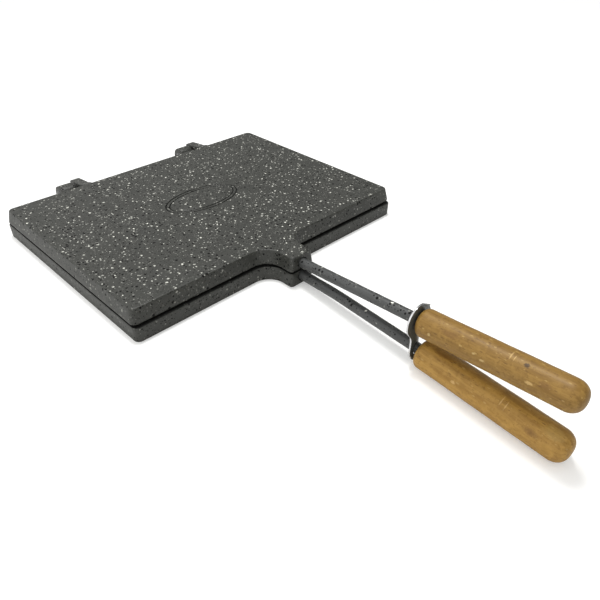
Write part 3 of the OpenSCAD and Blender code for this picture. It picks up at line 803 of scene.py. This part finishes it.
def latch_mesh():
    build = Build()
    p, d = rod_axis(True, LATCH_PLACE)
    up = Vector((0, math.sin(UPPER_SLOPE), math.cos(UPPER_SLOPE)))
    reach = (-(p - rod_axis(False, BEND_PLACE)[0]).y) / math.cos(LOWER_SLOPE + LOWER_BEND)
    low = rod_axis(False, BEND_PLACE + reach)[0]
    spread = (p - low).dot(up)
    slant = UPPER_SLOPE + LOWER_SLOPE + LOWER_BEND
    hook_r = ROD_R / math.cos(slant) + LATCH_T / 2 * math.tan(slant) + 0.3
    arm = hook_r + 3.6
    lip = 3.9
    # Outer line, from the right of the round part over its top and down the left side to the tip
    outer = arc_points(-LOBE_LEFT, 0, LATCH_R, -22, 200, 70)
    left = [(-arm - 2.55, -0.30 * spread), (-arm - 1.3, -0.38 * spread), (-arm - 0.2, -0.46 * spread),
            (-arm + 0.45, -0.56 * spread), (-arm + 0.6, -0.66 * spread), (-arm + 0.4, -0.78 * spread),
            (-arm, -0.92 * spread), (-arm + 0.05, -spread - 1), (-arm + 0.6, -spread - 0.7 * hook_r),
            (-arm + 1.5, -spread - hook_r - 0.1), (-arm + 2.8, -spread - hook_r - 0.65 * lip),
            (-arm + 4, -spread - hook_r - 0.93 * lip), (-arm + 5, -spread - hook_r - lip),
            (-arm + 6.2, -spread - hook_r - lip * 0.98), (0.4, -spread - hook_r - 0.86 * lip),
            (1.7, -spread - hook_r - 0.62 * lip), (2.6, -spread - hook_r - 0.3 * lip)]
    outer += spline(left, 4)
    # The hook's mouth follows the lower rod, then opens along the latch's own swing
    outer += [(2.7, -spread - hook_r + 0.1)]
    outer += [(hook_r * math.cos(a), -spread + hook_r * math.sin(a))
              for a in [math.radians(-80 - 190 * k / 30) for k in range(31)]]
    right = [(0.9, hook_r + 0.35 - spread), (0.8, -0.66 * spread), (1.2, -0.56 * spread), (2.2, -0.46 * spread),
             (4.2, -0.36 * spread), (7.0, -0.29 * spread), (9.2, -0.235 * spread)]
    outer += spline(right, 4)
    hole = ellipse_loop(ROD_R + 0.3, ROD_R + 0.3, 56)
    n = len(outer)
    normals = []
    for i in range(n):
        (ax, ay), (bx, by) = outer[i - 1], outer[(i + 1) % n]
        size = math.hypot(bx - ax, by - ay) or 1
        normals.append(((by - ay) / size, -(bx - ax) / size))
    edge, half = 0.22, LATCH_T / 2

    def ring(pts, norms, inset, z, sign):
        return build.loop([(q[0] - m[0] * inset * sign, q[1] - m[1] * inset * sign) for q, m in zip(pts, norms)], z)

    hole_normals = [(x / (ROD_R + 0.3), y / (ROD_R + 0.3)) for x, y in hole]
    for pts, norms, sign in ((outer, normals, 1), (hole, hole_normals, -1)):
        rings = [ring(pts, norms, edge, -half, sign), ring(pts, norms, edge * 0.3, -half + edge * 0.3, sign),
                 ring(pts, norms, 0, -half + edge, sign), ring(pts, norms, 0, half - edge, sign),
                 ring(pts, norms, edge * 0.3, half - edge * 0.3, sign), ring(pts, norms, edge, half, sign)]
        for a, b in zip(rings, rings[1:]):
            build.bridge(a, b)
    for z in (-half, half):
        build.fill([[(q[0] - m[0] * edge, q[1] - m[1] * edge) for q, m in zip(outer, normals)],
                    [(q[0] + m[0] * edge, q[1] + m[1] * edge) for q, m in zip(hole, hole_normals)]], z, holes=(1,))
    # Thumb tab: the sheet's edge bent towards the grip
    bend, strips = 1.3, []
    path = [(0.0, -0.9), (0.0, 0.0)] + [(bend * (1 - math.cos(math.radians(a))), bend * math.sin(math.radians(a)))
                                      for a in (15, 30, 45, 60, 75, 90)] + [(bend + 0.9, bend)]
    for k in range(13):
        a = math.radians(48 + 32 * k / 12)
        fade = 1 - 0.12 * abs(k - 6) / 6
        strips.append((a, fade))
    sheet = []
    for a, fade in strips:
        row_out, row_in = [], []
        for i, (z, r) in enumerate(path):
            nz, nr = (-1, 0) if i < 2 else (-math.cos(math.radians(min(90, 15 * (i - 1)))),
                                             math.sin(math.radians(min(90, 15 * (i - 1)))))
            rr = LATCH_R - bend - 0.25 + r
            zz = half - LATCH_T / 2 + z * fade
            row_out.append((-LOBE_LEFT + (rr + nr * 0.5) * math.cos(a), (rr + nr * 0.5) * math.sin(a), zz + nz * 0.5))
            row_in.append((-LOBE_LEFT + (rr - nr * 0.5) * math.cos(a), (rr - nr * 0.5) * math.sin(a), zz - nz * 0.5))
        sheet.append(build.ring3(row_out + row_in[::-1]))
    for a, b in zip(sheet, sheet[1:]):
        build.bridge(a, b)
    build.faces.append(tuple(sheet[0]))
    build.faces.append(tuple(sheet[-1]))
    return build


latch = latch_mesh()
m = frame_at(True, LATCH_PLACE)
make_object("latch_sheet", latch.verts, latch.faces, "latch", chrome_mat, ["latch_plate"], m, 30)


# Floor, light and camera
# A sheet of white paper: level under the plates, closed or opened flat, then falling away
# gently under the handles on either side, and level again past them
PAPER_BEND_Y, OPEN_BEND_Y, PAPER_SLOPE, PAPER_FALL = -118.0, 340.0, math.radians(5.5), 240.0


def paper_height(y):
    """Height of the paper at y, with soft bends."""
    past = min(PAPER_FALL, max(PAPER_BEND_Y - y, y - OPEN_BEND_Y))
    soft = 12.0
    if past <= -soft:
        return 0.0
    if past < soft:
        return -math.tan(PAPER_SLOPE) * (past + soft) ** 2 / (4 * soft)
    return -math.tan(PAPER_SLOPE) * past


paper = Build()
rows = [3000, OPEN_BEND_Y + PAPER_FALL] + [356 - 4 * k for k in range(10)] + [0]
rows += [-100 - 2 * k for k in range(20)] + [-200, PAPER_BEND_Y - PAPER_FALL, -3000]
for y in rows:
    for x in (-3000, 3000):
        paper.verts.append((x, y, paper_height(y) - 0.03))
for k in range(len(rows) - 1):
    paper.faces.append((2 * k, 2 * k + 1, 2 * k + 3, 2 * k + 2))
floor_nodes = Nodes("floor_white")
tree = floor_nodes.tree
floor_nodes.bsdf.inputs["Base Color"].default_value = (0.80, 0.80, 0.79, 1)
floor_nodes.bsdf.inputs["Roughness"].default_value = 0.6
floor_nodes.bsdf.inputs["Specular IOR Level"].default_value = 0.15
lift = floor_nodes.new("ShaderNodeEmission")
lift.inputs["Color"].default_value = (1, 1, 0.99, 1)
ray = floor_nodes.new("ShaderNodeLightPath")
floor_nodes.link(floor_nodes.math("MULTIPLY", ray.outputs["Is Camera Ray"], 0.31), lift.inputs["Strength"])
total = floor_nodes.new("ShaderNodeAddShader")
floor_nodes.link(floor_nodes.bsdf.outputs[0], total.inputs[0])
floor_nodes.link(lift.outputs[0], total.inputs[1])
floor_nodes.link(total.outputs[0], tree.nodes["Material Output"].inputs["Surface"])
floor = make_object("paper", paper.verts, paper.faces, None, floor_nodes.mat)
if floor.data.polygons[0].normal.z < 0:
    floor.data.flip_normals()

world = bpy.data.worlds.new("room")
bpy.context.scene.world = world
world.use_nodes = True
wt = world.node_tree
back = wt.nodes["Background"]
tc = wt.nodes.new("ShaderNodeTexCoord")
dot = wt.nodes.new("ShaderNodeVectorMath")
dot.operation = "DOT_PRODUCT"
wt.links.new(tc.outputs["Generated"], dot.inputs[0])
dot.inputs[1].default_value = Vector((-0.90, 0.25, 0.35)).normalized()
ramp = wt.nodes.new("ShaderNodeMapRange")
ramp.inputs[1].default_value, ramp.inputs[2].default_value = -0.4, 0.95
ramp.inputs[3].default_value, ramp.inputs[4].default_value = 0.28, 1.25
wt.links.new(dot.outputs["Value"], ramp.inputs[0])
seen = wt.nodes.new("ShaderNodeLightPath")
pick = wt.nodes.new("ShaderNodeMix")
pick.data_type = "FLOAT"
wt.links.new(seen.outputs["Is Camera Ray"], pick.inputs[0])
wt.links.new(ramp.outputs[0], pick.inputs[2])
pick.inputs[3].default_value = 1.0
wt.links.new(pick.outputs[0], back.inputs["Strength"])
back.inputs["Color"].default_value = (1.0, 1.0, 0.99, 1)


def area(name, place, aim, size, power):
    light = bpy.data.lights.new(name, "AREA")
    light.shape, light.size, light.energy = "SQUARE", size, power
    obj = bpy.data.objects.new(name, light)
    bpy.context.collection.objects.link(obj)
    obj.location = place
    obj.rotation_euler = (Vector(aim) - Vector(place)).to_track_quat("-Z", "Y").to_euler()


area("overhead", (0.12, 0.12, 1.4), (0, -0.1, 0), 0.26, 11.0)

AZ, EL, ROLL, DIST, FOCAL_PX = -0.7834335, 0.6333881, 0.01058843, 368.819, 584.535
TARGET = Vector((-42.5326, -155.4517, 2 * PLATE_T))
away = Vector((math.sin(AZ) * math.cos(EL), -math.cos(AZ) * math.cos(EL), math.sin(EL)))
right = (-away).cross(Vector((0, 0, 1))).normalized()
up = right.cross(-away)
turned_right = math.cos(ROLL) * right + math.sin(ROLL) * up
turned_up = -math.sin(ROLL) * right + math.cos(ROLL) * up
cam_data = bpy.data.cameras.new("camera")
cam_data.sensor_width = 36.0
cam_data.lens = FOCAL_PX * 36.0 / 600.0
cam_data.clip_start, cam_data.clip_end = 0.01, 20
camera = bpy.data.objects.new("camera", cam_data)
bpy.context.collection.objects.link(camera)
m = Matrix((turned_right, turned_up, away)).transposed().to_4x4()
m.translation = (TARGET + away * DIST) * MM
camera.matrix_world = m
bpy.context.scene.camera = camera
bpy.context.scene.view_settings.view_transform = "Standard"
